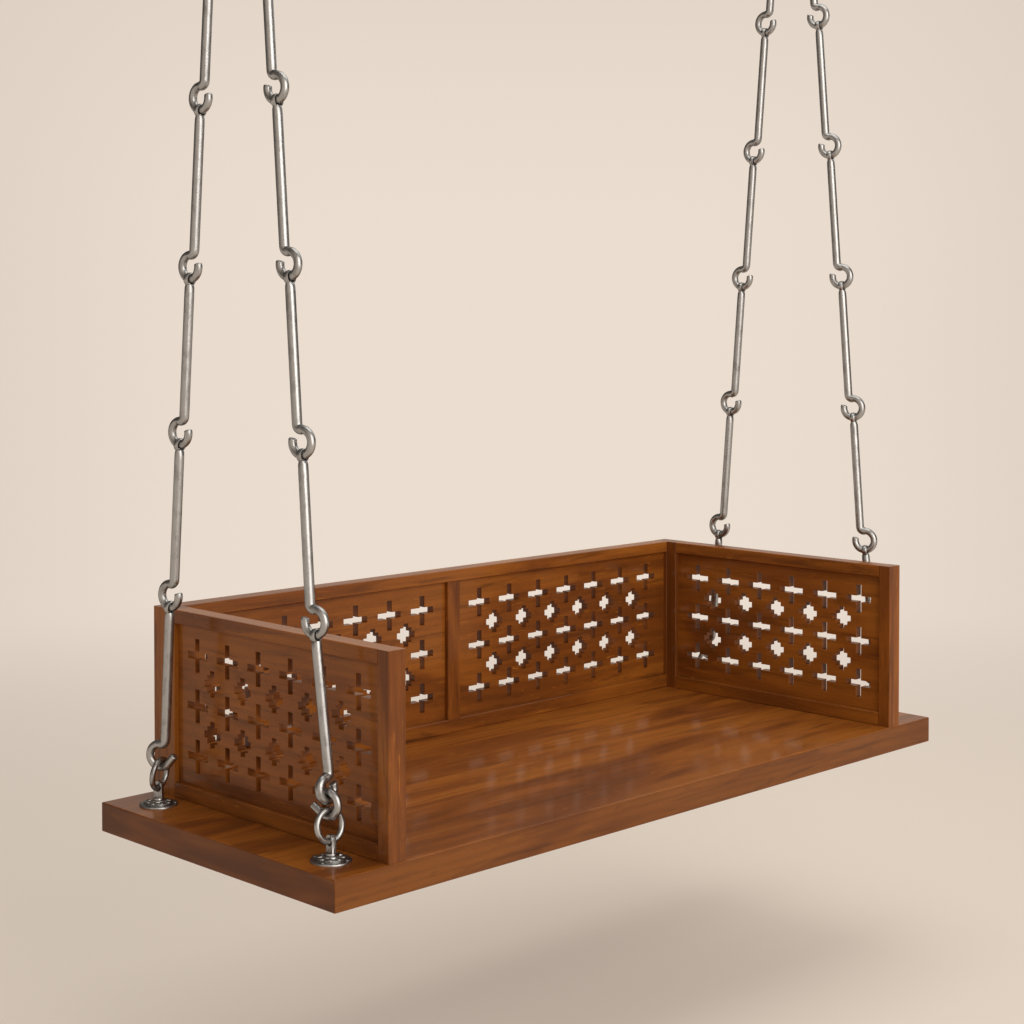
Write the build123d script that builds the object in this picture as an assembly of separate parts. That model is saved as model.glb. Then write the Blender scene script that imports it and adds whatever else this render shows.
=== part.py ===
"""A jhoola: a plank seat with a pierced (jali) railing on three sides, hung on four rod chains.

Units are millimetres. The origin is the centre of the plank's underside. +X runs along the
plank, +Y to the railed back and +Z up to the ceiling. Left and right are as seen from the front.
"""

from build123d import *
from math import asin, cos, degrees, radians, sin
import os

# ---------------------------------------------------------------- plank
plank_length = 1520.0
plank_depth = 600.0
plank_thickness = 48.0
plank_edge_round = 2.0

# ---------------------------------------------------------------- railing
railing_height = 312.0
panel_thickness = 34.0
side_panel_inset = 103.0  # plank end to a side panel's outer face
front_setback = 2.0  # plank front to a side panel's front end
stile_width = 25.0
top_rail_height = 22.5
bottom_rail_height = 25.5
mullion_width = 32.0
frame_edge_chamfer = 1.2

# ---------------------------------------------------------------- jali boards
jali_thickness = 16.0
groove_depth = 8.0
groove_clearance = 0.1
pattern_pitch = 81.6
pattern_row_pitch = 83.0
pattern_margin = 46.0  # least distance from a frame edge to the centre of a cross
cross_size = 56.0
cross_slot_width = 12.0
flower_square = 28.0
flower_size = 44.0
flower_tab_width = 12.0

# ---------------------------------------------------------------- wood screws
screw_length = 43.0
screw_radius = 2.5
screw_head_radius = 4.8
screw_head_height = 3.2
screw_hole_clearance = 0.1
plank_screw_bite = 17.0  # how far a screw reaches into a bottom rail
corner_screw_bite = 16.0  # how far a screw reaches into a side panel's rear stile
screw_well_clearance = 0.6
screw_edge_distance = 60.0
side_screw_count = 3
back_screw_count = 5
corner_screw_count = 2
corner_screw_margin = 70.0

# ---------------------------------------------------------------- rod chains
rod_radius = 7.9
hook_bar_radius = 6.6  # a rod is drawn thinner where it is bent into its hook
hook_taper = 7.0  # length over which it thins
hook_radius = 19.2  # centreline of an open hook
hook_tip_angle = 160.0  # where the hook's tip ends, from its outward side
hook_bend_radius = 8.0
rod_pitch = 266.0  # from one link's bearing point to the next
rods_per_chain = 7
link_clearance = 0.3  # between two bars that bear on each other
foot_play = 0.45  # the same at a chain's foot, which also turns as the seat sways
eye_radius = 10.8
eye_hole_radius = 7.8
eye_thickness = 9.5
eye_edge_round = 2.0
eye_play = 0.8  # between an eye and the bar that it bears on
neck_gap = 1.0  # from an eye's hole to the end of its neck
neck_length = 14.0
neck_radius = 5.6
chain_end_inset = 58.0  # plank end to the chains
chain_edge_inset = 79.0  # plank front or back to the chains' anchors
chain_foot_lean = 6.0  # how far an anchor ring's top leans in from its foot
chain_top_y = 9.0  # where a chain's top eye hangs on its hanger ring
chain_twists = {  # how far each chain's lowest link hangs turned, seen from above, in degrees
    ("left", "front"): 12.0,
    ("left", "back"): 10.0,
    ("right", "front"): 20.0,
    ("right", "back"): 4.0,
}

# ---------------------------------------------------------------- feet of the chains
front_hook_radius = 13.4  # the small hook that a front chain's lowest rod has
front_hook_turn = 90.0
front_hook_tip_angle = 172.0
back_hook_turn = 16.0
flared_tip_angle = 215.0  # where a back chain's lowest hook leaves its circle, towards its tip
flared_tip_length = 17.0
open_link_radius = 18.5
open_link_bar_radius = 6.0
open_link_upper_angle = 112.0
open_link_tip_angle = 232.0
open_link_tip_length = 22.0

# ---------------------------------------------------------------- anchors on the plank
ring_radius = 23.4
ring_bar_radius = 4.6
lug_width = 15.0
lug_thickness = 8.0
lug_height = 39.0  # top of a lug above the plank
lug_hole_radius = 5.8
lug_hole_height = 27.7  # above the plank
ring_play = 0.9  # between a ring's bar and the top of the lug's hole
bolt_radius = 6.0
bolt_collar_radius = 8.6
bolt_collar_height = 3.4
bolt_hole_clearance = 0.25
rose_radius = 31.0
rose_base_height = 3.0
rose_edge_round = 1.0
rose_tier_radius = 22.4
rose_tier_height = 2.6
rose_petal_count = 8
rose_petal_radius = 5.2
rose_petal_ring = 16.4
rose_petal_height = 2.2
rose_hub_radius = 12.0
rose_hub_height = 3.2
rose_screw_count = 4
rose_screw_ring = 26.4
rose_screw_radius = 1.75
rose_screw_head_radius = 3.0
rose_screw_head_height = 1.6
rose_screw_length = 18.0
washer_radius = 14.0
washer_height = 2.5
nut_across_flats = 19.0
nut_height = 10.0
nut_well_radius = 16.0
nut_well_depth = 15.5
bolt_end_gap = 1.5  # bolt end above the plank's underside

# ---------------------------------------------------------------- ceiling fittings
hanger_half_bar = 22.0  # half the straight bottom bar of a hanger ring
hanger_corner_radius = 14.0
hanger_side_height = 10.0
ceiling_shank_length = 34.0
ceiling_plate_radius = 45.0
ceiling_plate_height = 6.0
ceiling_hole_radius = 3.25
ceiling_hole_ring = 32.0
ceiling_hole_count = 4
ceiling_boss_radius = 13.0
ceiling_boss_lip = 2.5  # a boss's lower end, out from the hook's shank
ceiling_boss_height = 8.0

# ---------------------------------------------------------------- worked-out sizes
plank_top = plank_thickness
railing_top = plank_top + railing_height
side_outer_x = plank_length / 2 - side_panel_inset
side_inner_x = side_outer_x - panel_thickness
front_y = -plank_depth / 2 + front_setback
back_y = plank_depth / 2
back_inner_y = back_y - panel_thickness
field_low = plank_top + bottom_rail_height
field_high = railing_top - top_rail_height
groove_width = jali_thickness + 2 * groove_clearance
tongue_length = groove_depth - groove_clearance
tongue_top = railing_top - groove_depth / 2  # the rails' end tongues stop short of the stiles' ends
tongue_foot = plank_top + groove_depth / 2
cut_overrun = 1.0  # how far a cut runs past the face that it starts from
tolerance = 0.01
full_turn = 360.0
quarter_turn = 90.0
chain_x = plank_length / 2 - chain_end_inset
anchor_y = plank_depth / 2 - chain_edge_inset
ring_top_y = anchor_y - chain_foot_lean
lug_foot = plank_top + rose_base_height + rose_tier_height + rose_hub_height

parts = {}


def block(x_range, y_range, z_range):
    """A box between two corners."""
    size = [high - low for low, high in (x_range, y_range, z_range)]
    low_corner = (x_range[0], y_range[0], z_range[0])
    return Pos(*low_corner) * Box(*size, align=(Align.MIN, Align.MIN, Align.MIN))


def eased(solid, axis):
    """The solid with the four outer edges that run along one axis chamfered."""
    box = solid.bounding_box()
    mid = box.center()
    spans = {Axis.X: (Axis.Y, Axis.Z), Axis.Y: (Axis.X, Axis.Z), Axis.Z: (Axis.X, Axis.Y)}[axis]
    half = {Axis.X: box.size.X / 2, Axis.Y: box.size.Y / 2, Axis.Z: box.size.Z / 2}
    corners = []
    for edge in solid.edges().filter_by(axis):
        away = edge.center() - mid
        places = {Axis.X: away.X, Axis.Y: away.Y, Axis.Z: away.Z}
        if all(abs(abs(places[span]) - half[span]) < frame_edge_chamfer / 2 for span in spans):
            corners.append(edge)
    return chamfer(corners, frame_edge_chamfer)


# ================================================================ railing
def cross_tool(depth):
    """A plus-shaped hole with its axis along Z."""
    upright = Box(cross_slot_width, cross_size, depth)
    level = Box(cross_size, cross_slot_width, depth)
    return upright + level


def flower_tool(depth):
    """A square hole with a tab on each side, its axis along Z."""
    square = Box(flower_square, flower_square, depth)
    upright = Box(flower_tab_width, flower_size, depth)
    level = Box(flower_size, flower_tab_width, depth)
    return square + upright + level


def jali_board(field_width, field_height):
    """A pierced board lying flat, centred on the origin, with its edges in the frame's grooves."""
    tongues = 2 * tongue_length
    board = Box(field_width + tongues, field_height + tongues, jali_thickness)
    columns = int((field_width - 2 * pattern_margin) / pattern_pitch) + 1
    rows = int((field_height - 2 * pattern_margin) / pattern_row_pitch) + 1
    crosses = GridLocations(pattern_pitch, pattern_row_pitch, columns, rows)
    holes = [place * cross_tool(2 * jali_thickness) for place in crosses]
    if columns > 1 and rows > 1:
        flowers = GridLocations(pattern_pitch, pattern_row_pitch, columns - 1, rows - 1)
        holes += [place * flower_tool(2 * jali_thickness) for place in flowers]
    return board - holes


def grooved(solid, x_range, y_range, z_range):
    """The solid with a groove cut where a board or a tongue goes in."""
    return solid - block(x_range, y_range, z_range)


def rail_heights():
    """Each rail's name, and the heights of its body, of its groove and of its end tongues."""
    top_groove = (field_high - cut_overrun, field_high + groove_depth)
    top_tongue = (field_high + groove_depth, tongue_top - groove_clearance)
    bottom_groove = (field_low - groove_depth, field_low + cut_overrun)
    bottom_tongue = (tongue_foot + groove_clearance, field_low - groove_depth)
    return (
        ("top_rail", (field_high, railing_top), top_groove, top_tongue),
        ("bottom_rail", (plank_top, field_low), bottom_groove, bottom_tongue),
    )


def middle(low, high, width):
    """The range of a given width centred between two values."""
    centre = (low + high) / 2
    return (centre - width / 2, centre + width / 2)


def back_panel():
    """The framed back railing: two end stiles, two rails, a mullion and two boards."""
    y_range = (back_inner_y, back_y)
    groove_y = middle(*y_range, groove_width)
    tongue_y = middle(*y_range, jali_thickness)
    height = (plank_top, railing_top)
    groove_height = (tongue_foot, tongue_top)
    half_mullion = mullion_width / 2
    for name, side in (("left", -1), ("right", 1)):
        x_range = sorted((side * side_inner_x, side * side_outer_x))
        stile = eased(block(x_range, y_range, height), Axis.Z)
        groove_x = sorted((side * (side_inner_x - cut_overrun), side * (side_inner_x + groove_depth)))
        parts[f"back_{name}_stile"] = grooved(stile, groove_x, groove_y, groove_height)
        field = sorted((side * half_mullion, side * side_inner_x))
        board = Rot(X=90) * jali_board(field[1] - field[0], field_high - field_low)
        centre = (sum(field) / 2, sum(y_range) / 2, (field_low + field_high) / 2)
        parts[f"back_{name}_jali"] = Pos(*centre) * board
    reach = (-side_inner_x, side_inner_x)
    tongue_x = (reach[0] - tongue_length, reach[1] + tongue_length)
    for name, z_range, groove_z, tongue_z in rail_heights():
        rail = eased(block(reach, y_range, z_range), Axis.X)
        rail = grooved(rail, (reach[0] - cut_overrun, reach[1] + cut_overrun), groove_y, groove_z)
        parts[f"back_{name}"] = rail + block(tongue_x, tongue_y, tongue_z)
    mullion = eased(block((-half_mullion, half_mullion), y_range, (field_low, field_high)), Axis.Z)
    for side in (-1, 1):
        groove_x = sorted((side * (half_mullion + cut_overrun), side * (half_mullion - groove_depth)))
        mullion = grooved(mullion, groove_x, groove_y, height)
    core = half_mullion - groove_depth
    tenon_z = (field_low - tongue_length, field_high + tongue_length)
    parts["back_mullion"] = mullion + block((-core, core), tongue_y, tenon_z)


def side_panel(name, side):
    """One framed side railing: a front and a rear stile, two rails and a board."""
    x_range = sorted((side * side_inner_x, side * side_outer_x))
    groove_x = middle(*x_range, groove_width)
    tongue_x = middle(*x_range, jali_thickness)
    height = (plank_top, railing_top)
    groove_height = (tongue_foot, tongue_top)
    field_front = front_y + stile_width
    field_back = back_inner_y - stile_width
    front = eased(block(x_range, (front_y, field_front), height), Axis.Z)
    front_groove = (field_front - groove_depth, field_front + cut_overrun)
    parts[f"{name}_front_stile"] = grooved(front, groove_x, front_groove, groove_height)
    rear = eased(block(x_range, (field_back, back_inner_y), height), Axis.Z)
    rear_groove = (field_back - cut_overrun, field_back + groove_depth)
    parts[f"{name}_rear_stile"] = grooved(rear, groove_x, rear_groove, groove_height)
    reach = (field_front, field_back)
    cut_reach = (field_front - cut_overrun, field_back + cut_overrun)
    tongue_y = (reach[0] - tongue_length, reach[1] + tongue_length)
    for part, z_range, groove_z, tongue_z in rail_heights():
        rail = eased(block(x_range, reach, z_range), Axis.Y)
        rail = grooved(rail, groove_x, cut_reach, groove_z)
        parts[f"{name}_{part}"] = rail + block(tongue_x, tongue_y, tongue_z)
    board = Rot(Z=90) * (Rot(X=90) * jali_board(field_back - field_front, field_high - field_low))
    centre = (sum(x_range) / 2, sum(reach) / 2, (field_low + field_high) / 2)
    parts[f"{name}_jali"] = Pos(*centre) * board


# ================================================================ screws
def wood_screw():
    """A countersunk screw pointing up, with the top of its shank's axis at the origin."""
    shank = Pos(0, 0, -screw_length) * Cylinder(
        screw_radius, screw_length, align=(Align.CENTER, Align.CENTER, Align.MIN)
    )
    head = Pos(0, 0, -screw_length + screw_head_height / 2) * Cone(
        screw_head_radius, screw_radius, screw_head_height
    )
    return shank + head


def screw_hole():
    """The clearance hole of a wood screw, with the wide well that its head went in by."""
    bore_radius = screw_radius + screw_hole_clearance
    bore = Pos(0, 0, screw_hole_clearance - screw_length) * Cylinder(
        bore_radius, screw_length, align=(Align.CENTER, Align.CENTER, Align.MIN)
    )
    well = Pos(0, 0, -screw_length + screw_head_height) * Cylinder(
        screw_head_radius + screw_well_clearance,
        plank_thickness,
        align=(Align.CENTER, Align.CENTER, Align.MAX),
    )
    return bore + well


def spread(low, high, count, margin):
    """Evenly spaced values between two ends, kept a margin inside them."""
    if count == 1:
        return [(low + high) / 2]
    step = (high - low - 2 * margin) / (count - 1)
    return [low + margin + step * index for index in range(count)]


def screw_places():
    """Where each wood screw's point lies, and which way it points."""
    places = []
    tip_z = plank_top + plank_screw_bite
    side_x = (side_inner_x + side_outer_x) / 2
    for side in (-1, 1):
        for y in spread(front_y, back_inner_y, side_screw_count, screw_edge_distance):
            places.append(Pos(side * side_x, y, tip_z))
    panel_y = (back_inner_y + back_y) / 2
    for x in spread(-side_inner_x, side_inner_x, back_screw_count, screw_edge_distance):
        places.append(Pos(x, panel_y, tip_z))
    tip_y = back_inner_y - corner_screw_bite
    for side in (-1, 1):
        for z in spread(plank_top, railing_top, corner_screw_count, corner_screw_margin):
            places.append(Pos(side * side_x, tip_y, z) * Rot(X=90))
    return places


# ================================================================ chains
def swept(path, radius):
    """A round bar of the given radius along a path."""
    section = Plane(origin=path @ 0, z_dir=path % 0) * Circle(radius)
    return sweep(section, path=path)


def hook_point(radius, angle):
    """A point of a hook's centreline in the YZ plane, the angle counted from +Y towards +Z."""
    return Vector(0, radius * cos(radians(angle)), radius * sin(radians(angle)))


def hook_arc(radius, start_angle, end_angle):
    """An arc of a hook's centreline in the YZ plane."""
    middle_angle = (start_angle + end_angle) / 2
    points = [hook_point(radius, angle) for angle in (start_angle, middle_angle, end_angle)]
    return ThreePointArc(*points)


def flared_tip(radius, angle, length, bar_radius):
    """The straight end of a hook that leaves its circle at an angle, on the side of the tip."""
    start = hook_point(radius, angle)
    along = hook_point(length, angle - quarter_turn)
    return swept(Line(start, start + along), bar_radius)


def open_hook(shank_end, radius, tip_angle):
    """A hook in the YZ plane: its ring is centred on the origin, open above its -Y side, and its
    shank rises at -Y from a sharp bend over the ring, thickens and ends at the given height."""
    top_angle = full_turn + quarter_turn
    ring = hook_arc(radius, tip_angle, top_angle)
    bend_centre = Vector(0, 0, radius + hook_bend_radius)
    shank_foot = bend_centre + hook_point(hook_bend_radius, full_turn / 2)
    bend_middle = bend_centre + hook_point(hook_bend_radius, full_turn / 2 + quarter_turn / 2)
    bend = ThreePointArc(hook_point(radius, quarter_turn), bend_middle, shank_foot)
    hook = swept(ring, hook_bar_radius) + swept(bend, hook_bar_radius)
    standing = (Align.CENTER, Align.CENTER, Align.MIN)
    hook += Pos(shank_foot) * Cone(hook_bar_radius, rod_radius, hook_taper, align=standing)
    shank_length = shank_end - shank_foot.Z - hook_taper
    shank = Cylinder(rod_radius, shank_length, align=standing)
    return hook + Pos(shank_foot + Vector(0, 0, hook_taper)) * shank


def eye():
    """A flat forged eye with its hole along Y and a tapering neck below it."""
    disc_shape = Rot(X=90) * Cylinder(eye_radius, eye_thickness)
    disc_shape -= Rot(X=90) * Cylinder(eye_hole_radius, eye_thickness)
    rims = disc_shape.edges().filter_by(GeomType.CIRCLE)
    rims = [edge for edge in rims if abs(edge.radius - eye_hole_radius) < tolerance]
    rounded = fillet(rims, eye_edge_round)
    neck_top = -(eye_hole_radius + neck_gap)
    neck = Cone(rod_radius, neck_radius, neck_length)
    return rounded + Pos(0, 0, neck_top - neck_length / 2) * neck


def chain_rod(pitch, hook_turn, radius, tip_angle, tip_length):
    """A rod with an open hook below and an eye on top. The centre of the hook's bottom bar is at
    the origin, the next rod bears a pitch above it, and the hook is turned about Z."""
    rise = (pitch**2 - hook_bend_radius**2) ** 0.5
    eye_drop = eye_hole_radius - hook_bar_radius - eye_play
    eye_height = rise - radius - eye_drop
    neck_foot = eye_height - eye_hole_radius - neck_gap - neck_length
    hook = open_hook(neck_foot, radius, tip_angle)
    if tip_length > 0:
        hook += flared_tip(radius, tip_angle, tip_length, hook_bar_radius)
    lower = Rot(Z=hook_turn) * hook
    over_shank = Rot(Z=hook_turn) * Pos(0, -hook_bend_radius, eye_height)
    upper = Pos(over_shank.position) * eye()
    lean = degrees(asin(hook_bend_radius / pitch))
    tilt = Rot(Z=hook_turn) * Rot(X=-lean) * Rot(Z=-hook_turn)
    return tilt * Pos(0, 0, radius) * (lower + upper)


def open_link():
    """The open link at a front chain's foot, in the YZ plane. It bears where a rod's hook would."""
    arc = hook_arc(open_link_radius, open_link_tip_angle, full_turn + open_link_upper_angle)
    link = swept(arc, open_link_bar_radius)
    link += flared_tip(open_link_radius, open_link_tip_angle, open_link_tip_length, open_link_bar_radius)
    return Pos(0, 0, open_link_radius + hook_bar_radius - open_link_bar_radius) * link


def rod_shape(index, end):
    """The turn, the hook's radius and the form of its tip, for one rod of a front or back chain."""
    if index > 0:
        return 0.0, hook_radius, hook_tip_angle, 0.0
    if end < 0:
        return front_hook_turn, front_hook_radius, front_hook_tip_angle, 0.0
    return back_hook_turn, hook_radius, flared_tip_angle, flared_tip_length


def chain(side_name, side, end_name, end):
    """One chain of rods, from its anchor ring up to the hanger ring. end is -1 in front. The
    chain hangs turned at its foot, and less with each rod, until it is square to its hanger."""
    name = f"{side_name}_{end_name}"
    foot = Pos(0, chain_foot_y, chain_foot_z) * Rot(X=degrees(chain_lean))
    twist = chain_twists[(side_name, end_name)] * -side * end
    for index in range(rods_per_chain):
        start = open_link_step if end < 0 and index == 0 else rod_pitch * index
        rod = chain_rod(rod_pitch * (index + 1) - start, *rod_shape(index, end))
        turn = twist * (rods_per_chain - 1 - index) / (rods_per_chain - 1)
        placed = foot * Pos(0, 0, start) * Rot(Z=turn) * rod
        parts[f"{name}_rod_{index + 1}"] = chain_side(placed, side, end)
    if end < 0:
        parts[f"{name}_open_link"] = chain_side(foot * Rot(Z=twist) * open_link(), side, end)


def chain_side(shape, side, end):
    """A shape built at x = 0 for a back chain, carried to its own corner of the plank."""
    if end < 0:
        shape = mirror(shape, about=Plane.XZ)
    if side > 0:
        shape = mirror(shape, about=Plane.YZ)
    return Pos(side * chain_x, 0, 0) * shape


# ================================================================ anchors
def anchor_ring():
    """A closed ring standing on the origin in the XZ plane."""
    return Pos(0, 0, ring_radius) * Rot(X=90) * Torus(ring_radius, ring_bar_radius)


def eye_bolt():
    """A bolt through the plank with a flat round-topped lug above it, its hole along X."""
    half = lug_width / 2
    round_z = plank_top + lug_height - half
    lug = block((-lug_thickness / 2, lug_thickness / 2), (-half, half), (lug_foot, round_z))
    lug += Pos(0, 0, round_z) * Rot(Y=90) * Cylinder(half, lug_thickness)
    hole = Rot(Y=90) * Cylinder(lug_hole_radius, 2 * lug_thickness)
    lug -= Pos(0, 0, plank_top + lug_hole_height) * hole
    collar = disc(bolt_collar_radius, bolt_collar_height, lug_foot)
    return lug + collar + disc(bolt_radius, lug_foot - bolt_end_gap, bolt_end_gap)


def disc(radius, height, base):
    """A cylinder standing on a given height."""
    lying = (Align.CENTER, Align.CENTER, Align.MIN)
    return Pos(0, 0, base) * Cylinder(radius, height, align=lying)


def rose_plate():
    """The round ornamental plate under a lug: two tiers, a ring of petals and a hub."""
    base = disc(rose_radius, rose_base_height, plank_top)
    plate = fillet(base.edges().sort_by(Axis.Z)[-1], rose_edge_round)
    tier_z = plank_top + rose_base_height
    tier = disc(rose_tier_radius, rose_tier_height, tier_z)
    plate += fillet(tier.edges().sort_by(Axis.Z)[-1], rose_edge_round)
    petal_z = tier_z + rose_tier_height
    plate += disc(rose_hub_radius, rose_hub_height, petal_z)
    for place in PolarLocations(rose_petal_ring, rose_petal_count):
        plate += place * disc(rose_petal_radius, rose_petal_height, petal_z)
    cut_z = plank_top - cut_overrun
    plate -= disc(bolt_radius + bolt_hole_clearance, plank_thickness, cut_z)
    for place in rose_screw_places():
        plate -= place * disc(rose_screw_radius + screw_hole_clearance, plank_thickness, cut_z)
    return plate


def rose_screw_places():
    """The plate's screw places, between its petals."""
    half_petal = full_turn / (2 * rose_petal_count)
    return PolarLocations(rose_screw_ring, rose_screw_count, start_angle=half_petal)


def rose_screw():
    """A round-headed screw of the ornamental plate."""
    head_z = plank_top + rose_base_height
    shank_z = head_z - rose_screw_length
    shank = disc(rose_screw_radius, rose_screw_length, shank_z)
    return shank + disc(rose_screw_head_radius, rose_screw_head_height, head_z)


def nut():
    """The hexagonal nut under the plank, in its well."""
    base = nut_well_depth - washer_height - nut_height
    flats = RegularPolygon(nut_across_flats / 2, 6, major_radius=False)
    body = Pos(0, 0, base) * extrude(flats, nut_height)
    return body - disc(bolt_radius + screw_hole_clearance, plank_thickness, -cut_overrun)


def washer():
    """The washer between the nut and the bottom of its well."""
    body = disc(washer_radius, washer_height, nut_well_depth - washer_height)
    return body - disc(bolt_radius + bolt_hole_clearance, plank_thickness, -cut_overrun)


def anchor_places():
    """The four places where the chains meet the plank. The back ones hang turned with their
    rods' lowest hooks, which the ring and the lug of each follow."""
    places = []
    for side_name, side in (("left", -1), ("right", 1)):
        places.append(Pos(side * chain_x, -anchor_y, 0))
        turn = back_hook_turn + chain_twists[(side_name, "back")] * -side
        places.append(Pos(side * chain_x, anchor_y, 0) * Rot(Z=-side * turn))
    return places


def anchors():
    """The rings, eye bolts, plates and fasteners at the four chain feet."""
    places = anchor_places()
    lean = degrees(asin(chain_foot_lean / (2 * ring_radius)))
    rings = []
    for place in places:
        inward = lean if place.position.Y > 0 else -lean
        stand = Pos(place.position.X, place.position.Y, ring_foot_z) * Rot(X=inward)
        rings.append(stand * Rot(Z=place.orientation.Z) * anchor_ring())
    parts["anchor_rings"] = Compound(rings)
    parts["eye_bolts"] = Compound([place * eye_bolt() for place in places])
    parts["rose_plates"] = Compound([place * rose_plate() for place in places])
    screws = [place * hole * rose_screw() for place in places for hole in rose_screw_places()]
    parts["rose_screws"] = Compound(screws)
    parts["bolt_washers"] = Compound([place * washer() for place in places])
    parts["bolt_nuts"] = Compound([place * nut() for place in places])


def plank():
    """The seat plank with its bolt holes, nut wells and screw holes."""
    half_length = plank_length / 2
    half_depth = plank_depth / 2
    board = block((-half_length, half_length), (-half_depth, half_depth), (0, plank_top))
    board = fillet(board.edges(), plank_edge_round)
    tools = []
    for place in anchor_places():
        bore = bolt_radius + bolt_hole_clearance
        tools.append(place * disc(bore, 2 * plank_thickness, -cut_overrun))
        tools.append(place * disc(nut_well_radius, nut_well_depth + cut_overrun, -cut_overrun))
        for hole in rose_screw_places():
            depth = rose_screw_length - rose_base_height + screw_hole_clearance
            bore = rose_screw_radius + screw_hole_clearance
            tools.append(place * hole * disc(bore, depth + cut_overrun, plank_top - depth))
    return board - tools


# ================================================================ ceiling
def hanger_ring():
    """A closed ring in the YZ plane with a straight bottom bar, whose centre is at the origin."""
    side_y = hanger_half_bar + hanger_corner_radius
    corner_z = hanger_corner_radius
    side_z = corner_z + hanger_side_height
    diagonal = hanger_corner_radius * cos(radians(quarter_turn / 2))
    bottom = Line((0, -hanger_half_bar, 0), (0, hanger_half_bar, 0))
    pieces = [swept(bottom, hook_bar_radius)]
    for side in (-1, 1):
        corner = ThreePointArc(
            (0, side * hanger_half_bar, 0),
            (0, side * (hanger_half_bar + diagonal), corner_z - diagonal),
            (0, side * side_y, corner_z),
        )
        upright = Line((0, side * side_y, corner_z), (0, side * side_y, side_z))
        pieces += [swept(corner, hook_bar_radius), swept(upright, hook_bar_radius)]
    arch = ThreePointArc((0, -side_y, side_z), (0, 0, side_z + side_y), (0, side_y, side_z))
    pieces.append(swept(arch, hook_bar_radius))
    ring = pieces[0]
    for piece in pieces[1:]:
        ring += piece
    return ring


def ceiling_hook():
    """An open hook in the XZ plane, hanging from the ceiling plate."""
    shank_end = hook_radius + hook_bend_radius + ceiling_shank_length
    hook = Rot(Z=90) * open_hook(shank_end, hook_radius, hook_tip_angle)
    return Pos(0, 0, hook_radius) * hook


def ceiling_plate():
    """A round plate with a boss and four screw holes, its underside at the origin."""
    plate = disc(ceiling_plate_radius, ceiling_plate_height, 0)
    plate = fillet(plate.edges().sort_by(Axis.Z)[0], rose_edge_round)
    standing = (Align.CENTER, Align.CENTER, Align.MIN)
    lip = rod_radius + ceiling_boss_lip
    boss = Cone(lip, ceiling_boss_radius, ceiling_boss_height, align=standing)
    plate += Pos(0, 0, -ceiling_boss_height) * boss
    cut_z = -ceiling_boss_height - cut_overrun
    plate -= disc(rod_radius + screw_hole_clearance, plank_thickness, cut_z)
    for place in PolarLocations(ceiling_hole_ring, ceiling_hole_count, start_angle=quarter_turn / 2):
        plate -= place * disc(ceiling_hole_radius, plank_thickness, cut_z)
    return plate


def ceiling_fittings():
    """The hanger rings, and the hooks and plates that stay on the ceiling."""
    hooks = []
    plates = []
    for name, side in (("left", -1), ("right", 1)):
        ring = Pos(side * chain_x, 0, hanger_bar_z) * hanger_ring()
        parts[f"{name}_hanger_ring"] = ring
        hook = Pos(0, 0, hook_bar_z) * ceiling_hook()
        shank_x = hook_bend_radius
        plate = Pos(shank_x, 0, ceiling_z - ceiling_plate_height) * ceiling_plate()
        if side > 0:
            hook = mirror(hook, about=Plane.YZ)
            plate = mirror(plate, about=Plane.YZ)
        hooks.append(Pos(side * chain_x, 0, 0) * hook)
        plates.append(Pos(side * chain_x, 0, 0) * plate)
    parts["ceiling_hooks"] = Compound(hooks)
    parts["ceiling_plates"] = Compound(plates)


# ================================================================ places worked out upwards
ring_foot_z = plank_top + lug_hole_height + lug_hole_radius - ring_bar_radius - ring_play
ring_top_z = ring_foot_z + ((2 * ring_radius) ** 2 - chain_foot_lean**2) ** 0.5
foot_grip = ring_bar_radius + hook_bar_radius + foot_play
chain_length = rod_pitch * rods_per_chain
chain_lean = asin((ring_top_y - chain_top_y) / (chain_length - foot_grip))
chain_foot_y = ring_top_y + foot_grip * sin(chain_lean)
chain_foot_z = ring_top_z - foot_grip * cos(chain_lean)
open_link_step = 2 * open_link_radius - 2 * open_link_bar_radius - link_clearance
hanger_bar_z = chain_foot_z + chain_length * cos(chain_lean)
hanger_rise = 2 * hanger_corner_radius + hanger_side_height + hanger_half_bar
hook_bar_z = hanger_bar_z + hanger_rise - 2 * hook_bar_radius - link_clearance
ceiling_z = hook_bar_z + 2 * hook_radius + hook_bend_radius + ceiling_shank_length

# ================================================================ assembly
back_panel()
side_panel("left", -1)
side_panel("right", 1)
parts["plank"] = plank()

screw_holes = [place * screw_hole() for place in screw_places()]
parts["wood_screws"] = Compound([place * wood_screw() for place in screw_places()])
screwed = ["plank", "back_bottom_rail", "left_bottom_rail", "right_bottom_rail"]
screwed += ["back_left_stile", "back_right_stile", "left_rear_stile", "right_rear_stile"]
for node in screwed:
    parts[node] = parts[node] - screw_holes

anchors()
for side_name, side in (("left", -1), ("right", 1)):
    for end_name, end in (("front", -1), ("back", 1)):
        chain(side_name, side, end_name, end)
ceiling_fittings()

os.makedirs("parts", exist_ok=True)
for node, shape in parts.items():
    export_step(shape, f"parts/{node}.step")
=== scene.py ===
"""A jhoola swing: a sheesham plank seat with a pierced railing, hung on forged rod chains."""

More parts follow.
